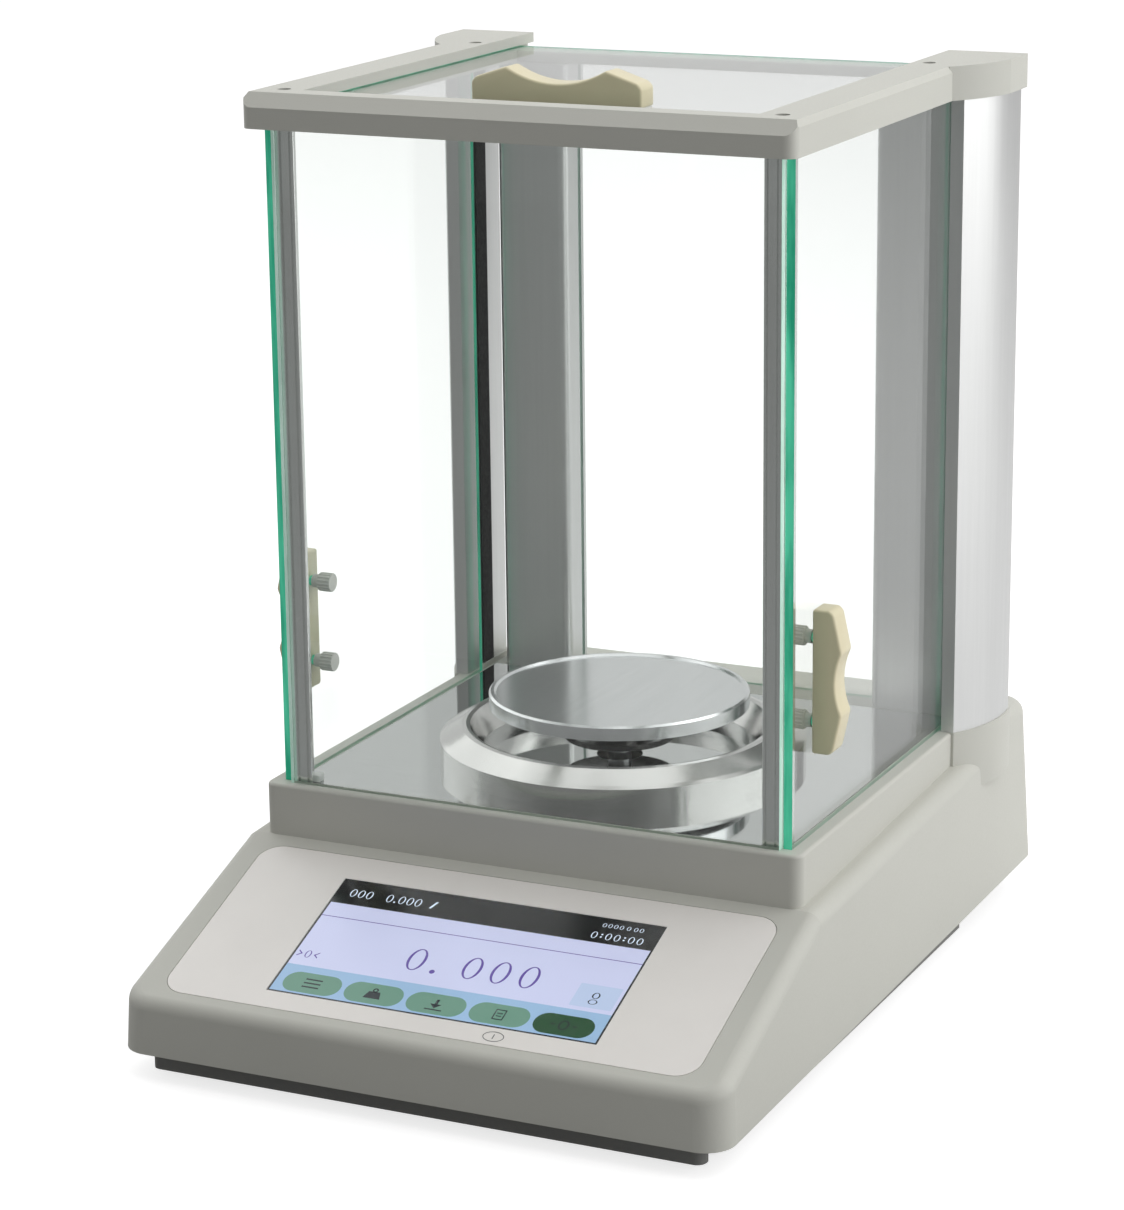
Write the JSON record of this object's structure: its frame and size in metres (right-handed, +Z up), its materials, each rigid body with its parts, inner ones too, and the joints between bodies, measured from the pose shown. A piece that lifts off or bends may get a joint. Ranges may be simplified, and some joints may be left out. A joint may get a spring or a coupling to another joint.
{
  "type": "analytical balance",
  "caption": "Analytical balance: sloped touch-screen base, glass weighing chamber with sliding side and top doors, lift-off pan and draft ring.",
  "frame": {"origin": "centre of the footprint on the bench, under the feet", "axes": "+X to the right seen from the front, the front and the screen face -Y, +Z up"},
  "size_m": [0.216, 0.2999, 0.3177],
  "materials": {
    "cover_plastic": "fine-textured light warm grey plastic",
    "frame_plastic": "fine-textured light warm grey plastic",
    "underside_plastic": "dark grey textured plastic",
    "panel_film": "warm white printed film, satin",
    "screen_glass": "lit touch screen",
    "lcd_metal": "display module frame",
    "board": "green circuit board",
    "cable_film": "flat cable",
    "chip_plastic": "black component plastic",
    "mirror_steel": "mirror-polished stainless steel",
    "pan_steel": "finely brushed stainless steel",
    "ring_steel": "turned and polished stainless steel",
    "door_glass": "clear float glass with green edges",
    "window_glass": "clear float glass with green edges",
    "post_metal": "polished extruded aluminium",
    "column_metal": "satin extruded aluminium",
    "seal_rubber": "black rubber seal",
    "handle_plastic": "cream moulded plastic",
    "nut_plastic": "off-white knurled plastic",
    "screw_steel": "zinc-plated screw",
    "cell_metal": "machined aluminium",
    "motor_iron": "nickel-plated soft iron",
    "copper": "enamelled copper winding",
    "foot_rubber": "black rubber",
    "brass_part": "turned brass",
    "level_liquid": "level vial with green liquid",
    "port_plastic": "black connector plastic"
  },
  "bodies": {
    "chassis": {"upper_housing": "cover_plastic", "top_frame": "frame_plastic", "bottom_tray": "underside_plastic", "front_skid": "underside_plastic", "panel_overlay": "panel_film", "display_lens": "screen_glass", "lcd_module": "lcd_metal", "display_board": "board", "ribbon": "cable_film", "floor_plate": "mirror_steel", "front_glass": "window_glass", "rear_glass": "window_glass", "front_post_left": "post_metal", "front_post_right": "post_metal", "outer_column_left": "column_metal", "outer_column_right": "column_metal", "inner_column_left": "column_metal", "inner_column_right": "column_metal", "column_seal_left": "seal_rubber", "column_seal_right": "seal_rubber", "frame_screws": "screw_steel", "weigh_cell_base": "cell_metal", "cell_screws": "screw_steel", "magnet_pot": "motor_iron", "magnet": "motor_iron", "position_sensor": "port_plastic", "main_board": "board", "board_parts": "chip_plastic", "port_board": "board", "power_jack": "port_plastic", "serial_port": "port_plastic", "level_housing": "port_plastic", "level_vial": "level_liquid", "front_feet": "foot_rubber", "foot_bushes": "brass_part", "housing_screws": "screw_steel"},
    "door_left": {"door_glass_left": "door_glass", "door_handle_left": "handle_plastic", "door_nuts_left": "nut_plastic"},
    "door_right": {"door_glass_right": "door_glass", "door_handle_right": "handle_plastic", "door_nuts_right": "nut_plastic"},
    "door_top": {"door_glass_top": "door_glass", "door_handle_top": "handle_plastic", "top_handle_screws": "screw_steel"},
    "pan": {"pan": "pan_steel", "pan_hub": "ring_steel"},
    "ring": {"draft_ring": "ring_steel"},
    "load_carrier": {"load_carrier": "cell_metal", "pan_spigot": "cell_metal"},
    "upper_guide": {"upper_guide": "cell_metal"},
    "lower_guide": {"lower_guide": "cell_metal"},
    "lever": {"lever": "cell_metal", "coil_former": "nut_plastic", "coil": "copper"},
    "foot_left": {"foot_pad_left": "foot_rubber"},
    "foot_right": {"foot_pad_right": "foot_rubber"},
    "screw_left": {"foot_screw_left": "brass_part"},
    "screw_right": {"foot_screw_right": "brass_part"}
  },
  "joints": [
    {"name": "door_left_slide", "type": "slide", "parent": "chassis", "child": "door_left", "axis": [0, 1, 0], "range_m": [0, 0.11]},
    {"name": "door_right_slide", "type": "slide", "parent": "chassis", "child": "door_right", "axis": [0, 1, 0], "range_m": [0, 0.11]},
    {"name": "door_top_slide", "type": "slide", "parent": "chassis", "child": "door_top", "axis": [0, 1, 0], "range_m": [0, 0.11]},
    {"name": "ring_lift", "type": "slide", "parent": "chassis", "child": "ring", "axis": [0, 0, 1], "range_m": [0, 0.06]},
    {"name": "carrier_slide", "type": "slide", "parent": "chassis", "child": "load_carrier", "axis": [0, 0, 1], "range_m": [0, 0.0003]},
    {"name": "pan_lift", "type": "slide", "parent": "load_carrier", "child": "pan", "axis": [0, 0, 1], "range_m": [0, 0.06]},
    {"name": "upper_guide_hinge", "type": "hinge", "parent": "chassis", "child": "upper_guide", "pos_m": [0, 0.0717, 0.05275], "axis": [-1, 0, 0], "range_deg": [0, 0.34]},
    {"name": "lower_guide_hinge", "type": "hinge", "parent": "chassis", "child": "lower_guide", "pos_m": [0, 0.0717, 0.02075], "axis": [-1, 0, 0], "range_deg": [0, 0.34]},
    {"name": "lever_hinge", "type": "hinge", "parent": "chassis", "child": "lever", "pos_m": [0, 0.034, 0.04], "axis": [-1, 0, 0], "range_deg": [0, 1.25]},
    {"name": "foot_left_slide", "type": "slide", "parent": "chassis", "child": "foot_left", "axis": [0, 0, 1], "range_m": [-0.003, 0.0015]},
    {"name": "foot_right_slide", "type": "slide", "parent": "chassis", "child": "foot_right", "axis": [0, 0, 1], "range_m": [-0.003, 0.0015]},
    {"name": "screw_left_turn", "type": "hinge", "parent": "foot_left", "child": "screw_left", "pos_m": [-0.066, 0.118, 0], "axis": [0, 0, 1], "range_deg": [-864, 432]},
    {"name": "screw_right_turn", "type": "hinge", "parent": "foot_right", "child": "screw_right", "pos_m": [0.066, 0.118, 0], "axis": [0, 0, 1], "range_deg": [-864, 432]}
  ],
  "couplings": [
    {"joint": "upper_guide_hinge", "follows": "carrier_slide", "rad_per_m": 19.34},
    {"joint": "lower_guide_hinge", "follows": "carrier_slide", "rad_per_m": 19.34},
    {"joint": "lever_hinge", "follows": "carrier_slide", "rad_per_m": 71.43},
    {"joint": "screw_left_turn", "follows": "foot_left_slide", "rad_per_m": 5026.5},
    {"joint": "screw_right_turn", "follows": "foot_right_slide", "rad_per_m": 5026.5}
  ]
}
